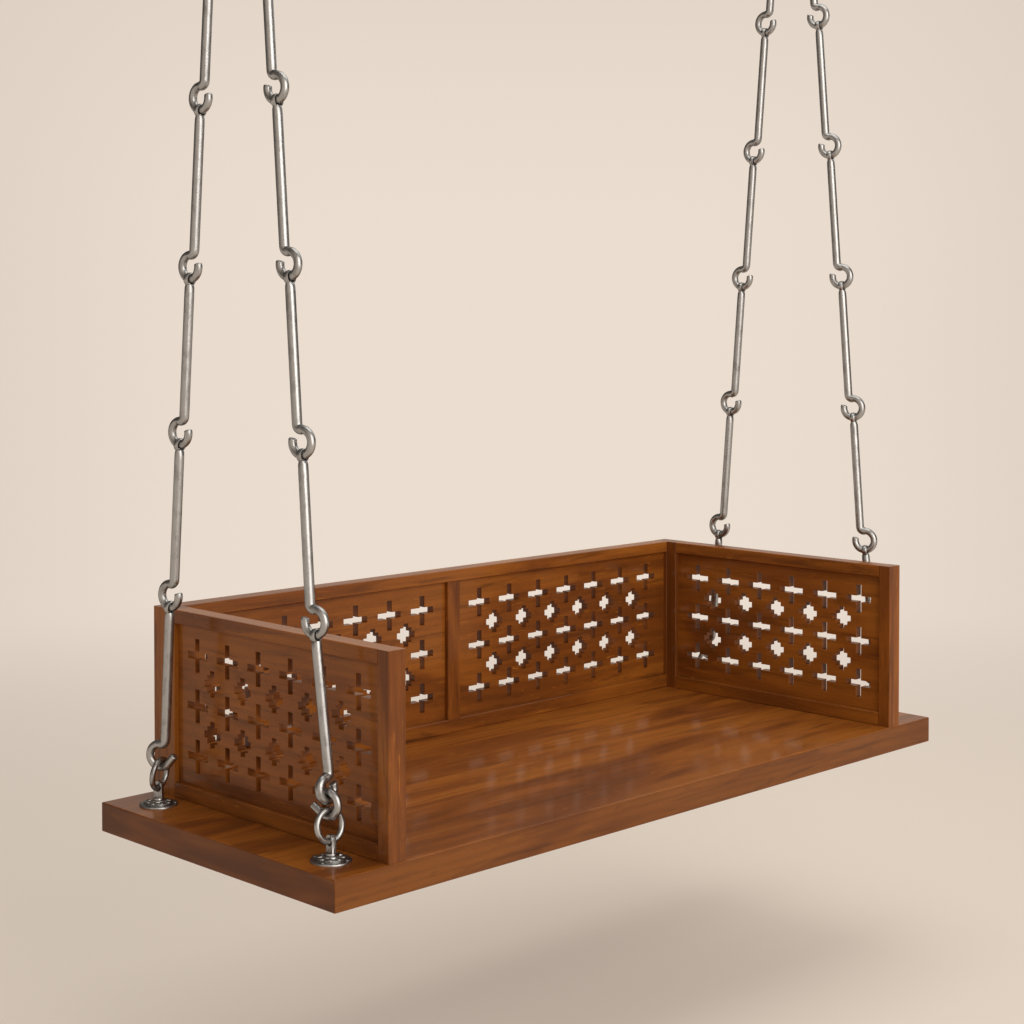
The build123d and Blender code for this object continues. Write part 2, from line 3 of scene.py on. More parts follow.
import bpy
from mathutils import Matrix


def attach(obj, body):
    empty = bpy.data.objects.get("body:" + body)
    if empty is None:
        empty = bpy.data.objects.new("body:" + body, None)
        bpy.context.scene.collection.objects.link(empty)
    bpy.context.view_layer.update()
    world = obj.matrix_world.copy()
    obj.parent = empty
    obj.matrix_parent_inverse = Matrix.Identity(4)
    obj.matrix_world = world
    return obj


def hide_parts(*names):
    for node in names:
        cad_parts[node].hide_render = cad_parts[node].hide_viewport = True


bl_info = {
    "name": "Jhoola swing",
    "version": (1, 0, 0),
    "blender": (4, 5, 0),
    "location": "View3D > Sidebar > Jhoola",
    "description": "Models and finishes a plank swing with a jali railing and rod chains",
    "category": "Object",
}

from math import asin, cos, degrees, pi, radians, sin

import bmesh
import bpy
from bpy.props import FloatProperty, FloatVectorProperty, IntProperty, PointerProperty
from bpy.types import Operator, Panel, PropertyGroup
from mathutils import Matrix, Vector

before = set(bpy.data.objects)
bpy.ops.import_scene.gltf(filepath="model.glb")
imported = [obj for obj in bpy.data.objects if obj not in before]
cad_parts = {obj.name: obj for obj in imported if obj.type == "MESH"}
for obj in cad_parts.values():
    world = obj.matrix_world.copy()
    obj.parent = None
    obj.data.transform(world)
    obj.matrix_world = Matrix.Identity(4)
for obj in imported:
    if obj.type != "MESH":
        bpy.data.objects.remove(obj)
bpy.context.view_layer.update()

MM = 0.001
TURN = 2 * pi
ORIGIN = (0, 0, 0)
AXES = {"X": Vector((1, 0, 0)), "Y": Vector((0, 1, 0)), "Z": Vector((0, 0, 1))}
SIDES = (("left", -1), ("right", 1))
ENDS = (("front", -1), ("back", 1))


def linear(hex_colour):
    """An sRGB hex colour as linear red, green and blue."""
    values = [int(hex_colour[start : start + 2], 16) / 255 for start in (1, 3, 5)]
    return [v / 12.92 if v <= 0.04045 else ((v + 0.055) / 1.055) ** 2.4 for v in values]


def length(millimetres, description):
    """A length that the panel shows, kept in metres."""
    return FloatProperty(
        description=description, default=millimetres * MM, unit="LENGTH", precision=5
    )


def angle(degree, description):
    """An angle that the panel shows, kept in radians."""
    return FloatProperty(description=description, default=radians(degree), unit="ROTATION")


def colour(hex_colour, description):
    """A colour that the panel shows."""
    return FloatVectorProperty(
        description=description, subtype="COLOR", default=linear(hex_colour)
    )


def named(group):
    """Name each setting of a group, as the panel shows it, by what it is called here."""
    for setting, made in group.__annotations__.items():
        made.keywords["name"] = setting.replace("_", " ").capitalize()
    return group


@named
class JhoolaChainSizes(PropertyGroup):
    """Sizes of the rod chains."""

    rod_radius: length(7.9, "Half the thickness of a rod's shank")
    bar_radius: length(6.6, "Half the thickness of a rod where it is bent")
    taper: length(7, "Length over which a rod thins towards its hook")
    hook_radius: length(19.2, "Centreline radius of a hook")
    hook_tip: angle(160, "Where a hook's tip ends, round from its outward side")
    bend_radius: length(8, "Radius of the sharp bend over a hook")
    pitch: length(266, "From one link's bearing point to the next")
    rods: IntProperty(description="Rods in each chain", default=7, min=1)
    clearance: length(0.3, "Between two bars that bear on each other")
    foot_play: length(0.45, "The same at a chain's foot")
    eye_radius: length(10.8, "Outer radius of a rod's eye")
    eye_hole: length(7.8, "Radius of the hole in a rod's eye")
    eye_thickness: length(9.5, "How thick an eye is forged")
    eye_play: length(0.8, "Between an eye and the bar it bears on")
    neck_gap: length(1, "From an eye's hole to the end of its neck")
    neck_length: length(14, "Length over which a rod thins to its eye")
    chain_x: length(702, "From the seat's middle to the chains")
    top_y: length(9, "From a hanger's middle to a chain's top eye")
    front_hook_radius: length(16.6, "The small hook low on a front chain")
    front_hook_tip: angle(158, "Where the small hook's tip ends")
    back_hook_turn: angle(16, "How far a back chain's lowest hook is turned")
    flared_tip: angle(215, "Where a flared tip leaves its hook")
    flared_length: length(17, "Length of a back hook's flared tip")
    link_radius: length(18.5, "Centreline radius of the open link")
    link_bar: length(6, "Half the thickness of the open link")
    link_upper: angle(112, "Where the open link's upper end stops")
    link_tip: angle(232, "Where the open link's tip leaves its circle")
    link_tip_length: length(22, "Length of the open link's straight tip")
    left_front_twist: angle(12, "How far this chain's foot hangs turned")
    left_back_twist: angle(10, "How far this chain's foot hangs turned")
    right_front_twist: angle(20, "How far this chain's foot hangs turned")
    right_back_twist: angle(4, "How far this chain's foot hangs turned")


@named
class JhoolaAnchorSizes(PropertyGroup):
    """Sizes of the anchors on the plank."""

    plank_top: length(48, "Height of the plank's top face")
    anchor_y: length(221, "From the seat's middle to an anchor, front or back")
    ring_lean: length(6, "How far an anchor ring's top leans in")
    ring_radius: length(23.4, "Centreline radius of an anchor ring")
    ring_bar: length(4.6, "Half the thickness of an anchor ring")
    ring_play: length(0.9, "Between a ring and the top of the lug's hole")
    lug_width: length(15, "Width of the flat lug")
    lug_thickness: length(8, "Thickness of the flat lug")
    lug_height: length(39, "Top of the lug above the plank")
    lug_hole: length(5.8, "Radius of the lug's hole")
    lug_hole_height: length(27.7, "The hole's centre above the plank")
    bolt_radius: length(6, "Radius of the bolt under the lug")
    bolt_end: length(1.5, "The bolt's end above the plank's underside")
    collar_radius: length(8.6, "Radius of the collar at the lug's foot")
    collar_height: length(3.4, "Height of the collar at the lug's foot")
    rose_radius: length(31, "Radius of the ornamental plate")
    rose_base: length(3, "Height of the plate's lowest tier")
    rose_tier_radius: length(22.4, "Radius of the plate's second tier")
    rose_tier: length(2.6, "Height of the plate's second tier")
    petals: IntProperty(description="Petals on a rose plate", default=8, min=3)
    petal_radius: length(5.2, "Half the width of a petal")
    petal_ring: length(16.4, "From the plate's middle to a petal's")
    petal_height: length(2.2, "How far a petal stands up")
    hub_radius: length(12, "Radius of the hub under the lug")
    hub_height: length(3.2, "Height of the hub under the lug")


@named
class JhoolaCeilingSizes(PropertyGroup):
    """Sizes of the hangers and the ceiling fittings."""

    hanger_half_bar: length(22, "Half the straight bar of a hanger ring")
    hanger_corner: length(14, "Corner radius of a hanger ring")
    hanger_side: length(10, "Height of a hanger ring's straight sides")
    shank_length: length(34, "Length of the ceiling hook's shank")
    plate_radius: length(45, "Radius of the ceiling plate")
    plate_height: length(6, "Thickness of the ceiling plate")
    hole_radius: length(3.25, "Radius of the plate's screw holes")
    hole_ring: length(32, "From the plate's middle to its holes")
    boss_radius: length(13, "Radius of the boss where it meets the plate")
    boss_lip: length(2.5, "The boss's lower end, out from the shank")
    boss_height: length(8, "Height of the boss")


@named
class JhoolaFinish(PropertyGroup):
    """Colours of the wood, the steel and the room."""

    wood_mid: colour("#7f4312", "The sheesham's usual brown")
    wood_dark: colour("#3a1b06", "The sheesham's dark growth streaks")
    wood_light: colour("#ae6820", "The sheesham's pale fibres")
    steel: colour("#b2b1af", "Polished steel bar")
    steel_dark: colour("#8a8886", "Steel where the polish is dull")
    zinc: colour("#a7abab", "Zinc-plated fasteners")
    floor: colour("#dccebf", "The pale floor")
    wall: colour("#ebddcf", "The pale backdrop")
    wall_side: colour("#e0d2c5", "The backdrop to the sides of the seat")
    wall_above: colour("#dccec0", "The backdrop well above the seat")


# ---- modelling by hand
MERGE_GAP = 0.02 * MM  # vertices closer than this are one
END_REACH = 1 * MM  # a bar's end face lies this near to its end
END_ROUNDING = 0.3  # of the bar's radius
SHARP = 35  # degrees between two faces at an edge that is eased


def clear_selection():
    """Leave edit mode, and leave nothing selected."""
    if bpy.context.object and bpy.context.object.mode != "OBJECT":
        bpy.ops.object.mode_set(mode="OBJECT")
    bpy.ops.object.select_all(action="DESELECT")


def take_up(piece):
    """Make a piece the only one selected, and the active one."""
    clear_selection()
    piece.select_set(True)
    bpy.context.view_layer.objects.active = piece


def select(kind, test):
    """In edit mode, select the vertices or the faces whose place and normal pass a test."""
    bpy.ops.mesh.select_mode(type=kind)
    bpy.ops.mesh.select_all(action="DESELECT")
    mesh = bmesh.from_edit_mesh(bpy.context.object.data)
    for part in mesh.verts if kind == "VERT" else mesh.faces:
        place = part.co if kind == "VERT" else part.calc_center_median()
        part.select_set(test(place, part.normal))
    mesh.select_flush_mode()
    bmesh.update_edit_mesh(bpy.context.object.data)


def start_bar(name, radius, place, rotation, sides=20, filled=True):
    """Begin a round bar with its end face, ready in edit mode to be drawn out."""
    clear_selection()
    fill = "NGON" if filled else "NOTHING"
    bpy.ops.mesh.primitive_circle_add(
        vertices=sides, radius=radius, fill_type=fill, location=place, rotation=rotation
    )
    bpy.ops.object.transform_apply(location=True, rotation=True, scale=True)
    piece = bpy.context.object
    piece.name = name
    bpy.ops.object.mode_set(mode="EDIT")
    bpy.ops.mesh.select_all(action="SELECT")
    return piece


def resize(scales, centre=ORIGIN):
    """Scale what is selected in edit mode about a centre."""
    bpy.ops.transform.resize(value=scales, center_override=centre)


def draw_out(run, scale=1.0, centre=None):
    """Extrude the selected end along a straight run, and thin or thicken it there."""
    bpy.ops.mesh.extrude_region_move(TRANSFORM_OT_translate={"value": run})
    if scale != 1.0:
        resize(scale if isinstance(scale, tuple) else (scale, scale, scale), centre)


def turn_up(steps):
    """Draw the selected end along the Z axis as a turned profile, by steps of rise and scale."""
    for rise, scale in steps:
        draw_out((0, 0, rise), (scale, scale, 1.0), ORIGIN)


def bend(by, centre, axis, steps):
    """Spin the selected end round a centre, right-handed about an axis."""
    bpy.ops.mesh.spin(steps=steps, angle=-by, center=centre, axis=AXES[axis])


def round_end(place, bar_radius):
    """Round the edge of a bar's end face, found by its place."""
    select("FACE", lambda centre, normal: (centre - place).length < END_REACH)
    bpy.ops.mesh.bevel(offset=bar_radius * END_ROUNDING, segments=3, affect="EDGES")


def close_shape():
    """Merge doubled vertices, point the faces outwards and leave edit mode."""
    bpy.ops.mesh.select_all(action="SELECT")
    bpy.ops.mesh.remove_doubles(threshold=MERGE_GAP)
    bpy.ops.mesh.normals_make_consistent(inside=False)
    bpy.ops.object.mode_set(mode="OBJECT")


def apply_modifier(piece, kind, settings):
    """Give a piece a modifier with its settings, and apply it."""
    take_up(piece)
    modifier = piece.modifiers.new(kind.capitalize(), kind)
    for name, value in settings.items():
        setattr(modifier, name, value)
    bpy.ops.object.modifier_apply(modifier=modifier.name)


def join_with(piece, other, operation="UNION"):
    """Unite a piece with another, or cut the other out of it."""
    apply_modifier(
        piece, "BOOLEAN", {"operation": operation, "solver": "EXACT", "object": other}
    )
    bpy.data.objects.remove(other)


def drill(piece, radius, depth, place, sides, rotation=ORIGIN):
    """Cut a round hole through a piece."""
    clear_selection()
    bpy.ops.mesh.primitive_cylinder_add(
        vertices=sides, radius=radius, depth=depth, location=place, rotation=rotation
    )
    join_with(piece, bpy.context.object, "DIFFERENCE")


def ease_edges(piece, width, segments):
    """Round off the sharp edges of a finished shape."""
    apply_modifier(
        piece, "BEVEL",
        {"width": width, "segments": segments, "limit_method": "ANGLE",
         "angle_limit": radians(SHARP)},
    )


def smooth(piece, limit=40):
    """Shade the faces smooth up to an angle between them."""
    take_up(piece)
    bpy.ops.object.shade_smooth_by_angle(angle=radians(limit))


def copy_to(model, place, name):
    """A copy of a model with its own mesh, its place in the mesh."""
    mesh = model.data.copy()
    mesh.transform(place)
    piece = bpy.data.objects.new(name, mesh)
    bpy.context.scene.collection.objects.link(piece)
    if place.determinant() < 0:
        take_up(piece)
        bpy.ops.object.mode_set(mode="EDIT")
        bpy.ops.mesh.select_all(action="SELECT")
        bpy.ops.mesh.normals_make_consistent(inside=False)
        bpy.ops.object.mode_set(mode="OBJECT")
    return piece


def settle(piece, body, node, material):
    """Give a piece its finish and its body, and hide the node that it stands for."""
    piece.data.materials.clear()
    piece.data.materials.append(bpy.data.materials[material])
    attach(piece, body)
    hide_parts(node)


def settle_copies(model, places, name, body, node, material):
    """Copy a model to its places as one piece, which stands for one node, and clear it away."""
    copies = [copy_to(model, place, name) for place in places]
    take_up(copies[0])
    for piece in copies[1:]:
        piece.select_set(True)
    bpy.ops.object.join()
    copies[0].name = name
    settle(copies[0], body, node, material)
    bpy.data.objects.remove(model)


def circle_point(radius, at):
    """A point on a circle in the YZ plane, the angle counted from +Y towards +Z."""
    return Vector((0, radius * cos(at), radius * sin(at)))


def turned(axis, by):
    """A turn about one axis through the origin."""
    return Matrix.Rotation(by, 4, axis)


def moved(x, y, z):
    """A move."""
    return Matrix.Translation((x, y, z))


# ---- materials
SMOOTHSTEP = {"interpolation_type": "SMOOTHSTEP"}
COLOURS = {"data_type": "RGBA"}

# the wood's figure, as clouds drawn out along the grain: how wide and how long they are in
# millimetres, how far they are moved, and their detail, roughness and distortion
FIGURE = {
    "tone": (117.65, 588.24, (3, 1, 2), 3.0, 0.5, 1.2),  # slow changes of tone
    "streaks": (29.412, 312.5, (5, 7, 1), 5.0, 0.56, 1.8),  # wandering dark growth streaks
    "flecks": (6.6667, 76.923, (1, 4, 8), 4.0, 0.6, 1.4),  # golden flecks
    "fibres": (1.5625, 90.909, (2, 9, 4), 4.0, 0.7, 0.0),  # as wide as they must be to show
    "pores": (0.66667, 13.333, (8, 3, 6), 1.0, 0.4, 0.0),  # short open pores
}
RING_WIDTH = 16 * MM
BAND_SIZES = (250, 250, 38.46)  # the slow level bands on a sawn end, in millimetres

# how the figure colours the wood, layer over layer: the surface, the layer, where it sets in
# and where it is full, its share there, and the tone that it brings
TINTS = (
    ("planed", "tone", 0.4, 0.62, 0.4, "light"),
    ("planed", "tone", 0.5, 0.32, 0.36, "dark"),
    ("planed", "rings", 0.3, 1.0, 0.15, "dark"),
    ("planed", "streaks", 0.5, 0.74, 0.5, "dark"),
    ("planed", "flecks", 0.6, 0.74, 0.55, "light"),
    ("planed", "flecks", 0.44, 0.26, 0.25, "dark"),
    ("planed", "fibres", 0.5, 0.76, 0.16, "light"),
    ("planed", "fibres", 0.5, 0.26, 0.2, "dark"),
    ("planed", "pores", 0.66, 0.8, 0.75, "pit"),
    ("sawn", "bands", 0.42, 0.6, 0.42, "dark"),
    ("sawn", "bands", 0.46, 0.34, 0.25, "light"),
    ("planed", "endwise", 0.6, 0.8, 1.0, "sawn"),
)
PLANK_PAINTED_SHADE = 0.36  # painted shade: how much darker the thick plank's upright faces are painted, in place of the shade that falls on them

# how the steel was worked: the marks' width across the bar and length along it in millimetres,
# and their detail and roughness
MARKS = {
    "patches": (11.765, 25, 4.0, 0.6),  # dull patches
    "lines": (1, 16.667, 3.0, 0.65),  # buffing lines, coarser than real ones so that they show
}
FLANK_TINT = (0.28, 0.27, 0.26, 1)  # bright bar turns dark where it curves away


def add_node(tree, kind, settings=None, inputs=None):
    """Add a shader node, with its settings, and a value or a link for each input that is named.

    A link is named by the socket that it starts from, or by a node, for the output in use there.
    """
    node = tree.nodes.new("ShaderNode" + kind)
    for name, value in (settings or {}).items():
        setattr(node, name, value)
    for name, value in (inputs or {}).items():
        if isinstance(value, bpy.types.Node):
            value = next(output for output in value.outputs if output.enabled)
        if isinstance(value, bpy.types.NodeSocket):
            tree.links.new(value, node.inputs[name])
        else:
            node.inputs[name].default_value = value
    return node


def new_material(name):
    """A material that has no nodes yet, and its node tree."""
    material = bpy.data.materials.new(name)
    material.use_nodes = True
    tree = material.node_tree
    tree.nodes.clear()
    return material, tree


def opaque(value):
    """A colour with its alpha."""
    return (*value, 1.0)


def per_metre(sizes):
    """Sizes in millimetres as how many of them go into a metre, which is a pattern's scale."""
    return [1 / (size * MM) for size in sizes]


def sheesham(grain, painted_shade_share=0.0):
    """Sheesham, planed along its grain, stained with a red-brown polish and rubbed to a gloss.

    The eye sees long fine fibres, slow dark growth streaks that wander, short open pores and a
    satin sheen that takes soft reflections at low angles.
    """
    finish = bpy.context.scene.jhoola_finish
    cut = "plank" if painted_shade_share else "board"
    material, tree = new_material(f"sheesham_polished_{cut}_grain_{grain.lower()}")
    object_space = add_node(tree, "TexCoord").outputs
    place = object_space["Object"]
    along = AXES[grain]
    layers = {}
    for layer, (wide, long, offset, detail, rough, wander) in FIGURE.items():
        scale = per_metre([long if share else wide for share in along])
        cells = add_node(
            tree, "Mapping", inputs={"Vector": place, "Scale": scale, "Location": offset}
        )
        layers[layer] = add_node(
            tree, "TexNoise",
            inputs={"Vector": cells, "Scale": 1.0, "Detail": detail, "Roughness": rough,
                    "Distortion": wander},
        )

    # growth rings round a heart that lies well outside the board, and runs nearly straight
    heart = add_node(
        tree, "Mapping",
        inputs={"Vector": place, "Scale": [0.09 if share else 1.0 for share in along],
                "Location": (0.31, 0.27, 0.36)},
    )
    # at scale 1 the texture has 20 radians to the metre
    layers["rings"] = add_node(
        tree, "TexWave",
        {"wave_type": "RINGS", "rings_direction": grain, "wave_profile": "SIN"},
        {"Vector": heart, "Scale": TURN / 20 / RING_WIDTH, "Distortion": 14.0, "Detail": 2.5,
         "Detail Scale": 0.5, "Detail Roughness": 0.6},
    ).outputs["Fac"]

    # sawn ends drink more stain, and show slow level bands in place of fibres
    level = add_node(
        tree, "Mapping",
        inputs={"Vector": place, "Scale": per_metre(BAND_SIZES), "Rotation": (0.05, 0, 0)},
    )
    layers["bands"] = add_node(
        tree, "TexNoise",
        inputs={"Vector": level, "Scale": 1.0, "Detail": 3.0, "Roughness": 0.5,
                "Distortion": 0.6},
    )
    faces = add_node(tree, "VectorMath", {"operation": "ABSOLUTE"}, {0: object_space["Normal"]})
    for layer, direction in (("endwise", along), ("lying", AXES["Z"])):
        layers[layer] = add_node(
            tree, "VectorMath", {"operation": "DOT_PRODUCT"}, {0: faces, 1: direction}
        )

    tones = {
        "planed": opaque(finish.wood_mid),
        "sawn": opaque(finish.wood_mid),
        "light": opaque(finish.wood_light),
        "dark": opaque(finish.wood_dark),
        "pit": opaque([value * 0.4 for value in finish.wood_dark]),
    }
    shares = {}
    # painted shade: the plank's faces are darkened the more upright they stand, in place of the
    # shade that falls on them
    painted_shade_layer = ("planed", "lying", 0.75, 0.5, painted_shade_share, "dark")
    for surface, layer, low, high, share, tone in (*TINTS, painted_shade_layer):
        shares[layer] = add_node(
            tree, "MapRange", SMOOTHSTEP,
            {"Value": layers[layer], "From Min": low, "From Max": high, "To Max": share},
        )
        tones[surface] = add_node(
            tree, "Mix", COLOURS, {0: shares[layer], 6: tones[surface], 7: tones[tone]}
        )

    filled = add_node(
        tree, "MapRange", SMOOTHSTEP, {"Value": shares["pores"], "To Min": 0.5, "To Max": 0.0}
    )
    relief = add_node(
        tree, "Math", {"operation": "MULTIPLY_ADD"}, {0: layers["fibres"], 1: 0.35, 2: filled}
    )
    bump = add_node(
        tree, "Bump", inputs={"Height": relief, "Strength": 0.35, "Distance": 0.25 * MM}
    )
    rough = add_node(
        tree, "MapRange", SMOOTHSTEP,
        {"Value": layers["fibres"], "From Min": 0.2, "From Max": 0.8, "To Min": 0.42,
         "To Max": 0.56},
    )
    shader = add_node(
        tree, "BsdfPrincipled",
        inputs={"Base Color": tones["planed"], "Roughness": rough, "IOR": 1.5,
                "Specular IOR Level": 0.15, "Coat Weight": 0.3, "Coat Roughness": 0.12,
                "Coat IOR": 1.5, "Normal": bump},
    )
    add_node(tree, "OutputMaterial", inputs={"Surface": shader})
    return material


def polished_steel(name, bright, dull, roughness):
    """Mild steel bar, hot-bent and forged, then buffed along its length.

    The eye sees a warm grey with soft bright lights, dull patches here and there and fine
    lengthways buffing lines.
    """
    material, tree = new_material(name)
    place = add_node(tree, "TexCoord").outputs["Object"]
    marks = {}
    for mark, (wide, long, detail, rough) in MARKS.items():
        cells = add_node(
            tree, "Mapping", inputs={"Vector": place, "Scale": per_metre((wide, wide, long))}
        )
        marks[mark] = add_node(
            tree, "TexNoise",
            inputs={"Vector": cells, "Scale": 1.0, "Detail": detail, "Roughness": rough},
        )
    stain = add_node(
        tree, "MapRange", SMOOTHSTEP, {"Value": marks["patches"], "From Min": 0.46, "From Max": 0.8}
    )
    tint = add_node(tree, "Mix", COLOURS, {0: stain, 6: opaque(bright), 7: opaque(dull)})
    rough = add_node(
        tree, "MapRange",
        inputs={"Value": marks["lines"], "From Min": 0.3, "From Max": 0.7,
                "To Min": roughness - 0.06, "To Max": roughness + 0.1},
    )
    relief = add_node(
        tree, "Math", {"operation": "MULTIPLY_ADD"},
        {0: marks["patches"], 1: 1.5, 2: marks["lines"]},
    )
    bump = add_node(tree, "Bump", inputs={"Height": relief, "Strength": 0.5, "Distance": 0.12 * MM})
    shader = add_node(
        tree, "BsdfPrincipled",
        inputs={"Base Color": tint, "Metallic": 1.0, "Roughness": rough, "Normal": bump,
                "Specular Tint": FLANK_TINT},
    )
    add_node(tree, "OutputMaterial", inputs={"Surface": shader})
    return material


class JHOOLA_OT_metals(Operator):
    """Mix the steel finishes and plate the plain fasteners"""

    bl_idname = "jhoola.metals"
    bl_label = "Metal finishes"

    def execute(self, context):
        finish = context.scene.jhoola_finish
        for name in ("steel_bar_buffed", "steel_cast_buffed"):
            polished_steel(name, finish.steel, finish.steel_dark, 0.31)
        # zinc plating is paler and duller than the buffed steel, and has no stain
        zinc = polished_steel("zinc_plated_screw", finish.zinc, finish.zinc, 0.4)
        for name in ("wood_screws", "rose_screws", "bolt_washers", "bolt_nuts"):
            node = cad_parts[name]
            node.data.materials.clear()
            node.data.materials.append(zinc)
        return {"FINISHED"}


# ---- wood
# the way that the grain of each board runs
GRAINS = {"plank": "X", "back_mullion": "Z"}
for member in ("top_rail", "bottom_rail", "left_jali", "right_jali"):
    GRAINS[f"back_{member}"] = "X"
for side_name, _ in SIDES:
    GRAINS[f"back_{side_name}_stile"] = "Z"
    for member in ("top_rail", "bottom_rail", "jali"):
        GRAINS[f"{side_name}_{member}"] = "Y"
    for member in ("front_stile", "rear_stile"):
        GRAINS[f"{side_name}_{member}"] = "Z"


class JHOOLA_OT_woodwork(Operator):
    """Stain and polish the plank, frames and jali boards, which keep the shape they come with"""

    bl_idname = "jhoola.woodwork"
    bl_label = "Woodwork"

    def execute(self, context):
        woods = {grain: sheesham(grain) for grain in AXES}
        # the plank's material also has painted shade on its upright faces
        thick = sheesham(GRAINS["plank"], PLANK_PAINTED_SHADE)
        for name, grain in GRAINS.items():
            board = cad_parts[name]
            board.data.materials.clear()
            board.data.materials.append(thick if name == "plank" else woods[grain])
        return {"FINISHED"}


# ---- chains
FACET = 10  # degrees in each step round a hook
ELBOW_STEPS = 7  # steps round the sharp bend over a hook
SHANK_PARTS = 4  # lengths that a shank is drawn out in
KNOB = 1.19  # the bar is upset to a knob where it turns up into the shank
EYE_SWELL = 0.6  # share of an eye's play that its rounded wall takes up
# the rod stays nearly full for most of its neck, and is only flattened at the eye
NECK_FULL = 0.7  # share of the neck
NECK_SCALE = (0.98, 0.96, 1)
EYE_SCALE = (0.93, 0.74, 1)


def eye(sizes, height):
    """The forged eye of a rod, an oval bar spun round its hole, whose axis lies along Y."""
    half_wall = (sizes.eye_radius - sizes.eye_hole + sizes.eye_play * EYE_SWELL) / 2
    ring = start_bar("eye", 1.0, ORIGIN, (pi / 2, 0, 0), sides=14, filled=False)
    bpy.ops.transform.rotate(value=pi / 2, orient_axis="Z", center_override=ORIGIN)
    resize((1.0, sizes.eye_thickness / 2, half_wall))
    bpy.ops.transform.translate(value=(0, 0, sizes.eye_radius - half_wall))
    bend(TURN, ORIGIN, "Y", 28)
    bpy.ops.mesh.select_all(action="SELECT")
    bpy.ops.transform.translate(value=(0, 0, height))
    close_shape()
    return ring


def bend_from_tip(name, bar_radius, radius, tip, tip_length, end):
    """Bend a bar round the origin from its tip, straight at first or not, to an end angle."""
    onward = Vector((0, -sin(tip), cos(tip)))
    tip_end = circle_point(radius, tip) - onward * tip_length
    piece = start_bar(name, bar_radius, tip_end, (tip, 0, 0))
    if tip_length:
        draw_out(onward * tip_length)
    by = TURN + end - tip
    bend(by, ORIGIN, "X", round(degrees(by) / FACET))
    return piece, tip_end


def rod(sizes, name, pitch, hook_turn, radius, tip, tip_length=0):
    """A rod with its hook below and its eye on top, its hook's bottom bar at the origin."""
    rise = (pitch**2 - sizes.bend_radius**2) ** 0.5
    eye_height = rise - radius - (sizes.eye_hole - sizes.bar_radius - sizes.eye_play)
    neck_foot = eye_height - sizes.eye_hole - sizes.neck_gap - sizes.neck_length
    neck_top = neck_foot + sizes.neck_length * NECK_FULL
    neck_end = neck_foot + sizes.neck_length + sizes.neck_gap
    piece, tip_end = bend_from_tip(name, sizes.bar_radius, radius, tip, tip_length, pi / 2)
    resize((KNOB, 1, KNOB), (0, 0, radius))
    bend(-pi / 2, (0, 0, radius + sizes.bend_radius), "X", ELBOW_STEPS)
    shank_y = -sizes.bend_radius
    height = radius + sizes.bend_radius + sizes.taper / 2
    thinned = sizes.rod_radius / sizes.bar_radius / KNOB
    draw_out((0, 0, sizes.taper / 2), thinned, (0, shank_y, height))
    for _ in range(SHANK_PARTS):
        draw_out((0, 0, (neck_foot - height) / SHANK_PARTS))
    draw_out((0, 0, neck_top - neck_foot), NECK_SCALE, (0, shank_y, neck_top))
    draw_out((0, 0, neck_end - neck_top), EYE_SCALE, (0, shank_y, eye_height))
    round_end(tip_end, sizes.bar_radius)
    close_shape()
    piece.data.transform(turned("Z", hook_turn))
    over = turned("Z", hook_turn) @ Vector((0, shank_y, eye_height))
    top = eye(sizes, eye_height)
    top.data.transform(moved(over.x, over.y, 0))
    join_with(piece, top)
    # tilted so that the eye stands straight over the hook
    lean = asin(sizes.bend_radius / pitch)
    tilt = turned("Z", hook_turn) @ turned("X", -lean) @ turned("Z", -hook_turn)
    piece.data.transform(tilt @ moved(0, 0, radius))
    smooth(piece)
    return piece


def ring_bottom(anchors):
    """How high the lowest bar of an anchor ring lies, drawn up into the lug's hole."""
    hole_top = anchors.plank_top + anchors.lug_hole_height + anchors.lug_hole
    return hole_top - anchors.ring_bar - anchors.ring_play


def foot_place(chains, anchors):
    """A back chain's foot in the plane x = 0, and the chain's lean."""
    top_y = anchors.anchor_y - anchors.ring_lean
    ring_rise = ((2 * anchors.ring_radius) ** 2 - anchors.ring_lean**2) ** 0.5
    top_z = ring_bottom(anchors) + ring_rise
    grip = anchors.ring_bar + chains.bar_radius + chains.foot_play
    lean = asin((top_y - chains.top_y) / (chains.pitch * chains.rods - grip))
    return moved(0, top_y + grip * sin(lean), top_z - grip * cos(lean)) @ turned("X", lean), lean


def corner(chains, side, end):
    """The mirroring and the move that carry a back chain at x = 0 to its corner."""
    return moved(side * chains.chain_x, 0, 0) @ Matrix.Diagonal((-1 if side > 0 else 1, end, 1, 1))


class JHOOLA_OT_chain_rods(Operator):
    """Forge the hook-and-eye rods and hang the four chains"""

    bl_idname = "jhoola.chain_rods"
    bl_label = "Chain rods"

    def execute(self, context):
        scene = context.scene
        sizes = scene.jhoola_chains
        foot, _ = foot_place(sizes, scene.jhoola_anchors)
        link_step = 2 * sizes.link_radius - 2 * sizes.link_bar - sizes.clearance
        usual = rod(sizes, "rod_model", sizes.pitch, 0, sizes.hook_radius, sizes.hook_tip)
        low_front = rod(
            sizes, "front_rod_model", sizes.pitch - link_step, pi / 2, sizes.front_hook_radius,
            sizes.front_hook_tip
        )
        low_back = rod(
            sizes, "back_rod_model", sizes.pitch, sizes.back_hook_turn, sizes.hook_radius,
            sizes.flared_tip, sizes.flared_length
        )
        for side_name, side in SIDES:
            for end_name, end in ENDS:
                twist = getattr(sizes, f"{side_name}_{end_name}_twist") * -side * end
                for index in range(sizes.rods):
                    model, start = usual, sizes.pitch * index
                    if index == 0:
                        model, start = (low_front, link_step) if end < 0 else (low_back, 0)
                    turn = twist * (sizes.rods - 1 - index) / (sizes.rods - 1)
                    place = corner(sizes, side, end) @ foot @ moved(0, 0, start)
                    name = f"{side_name}_{end_name}_rod_{index + 1}"
                    piece = copy_to(model, place @ turned("Z", turn), f"{name}_forged")
                    settle(piece, f"{side_name}_chains", name, "steel_bar_buffed")
        for model in (usual, low_front, low_back):
            bpy.data.objects.remove(model)
        return {"FINISHED"}


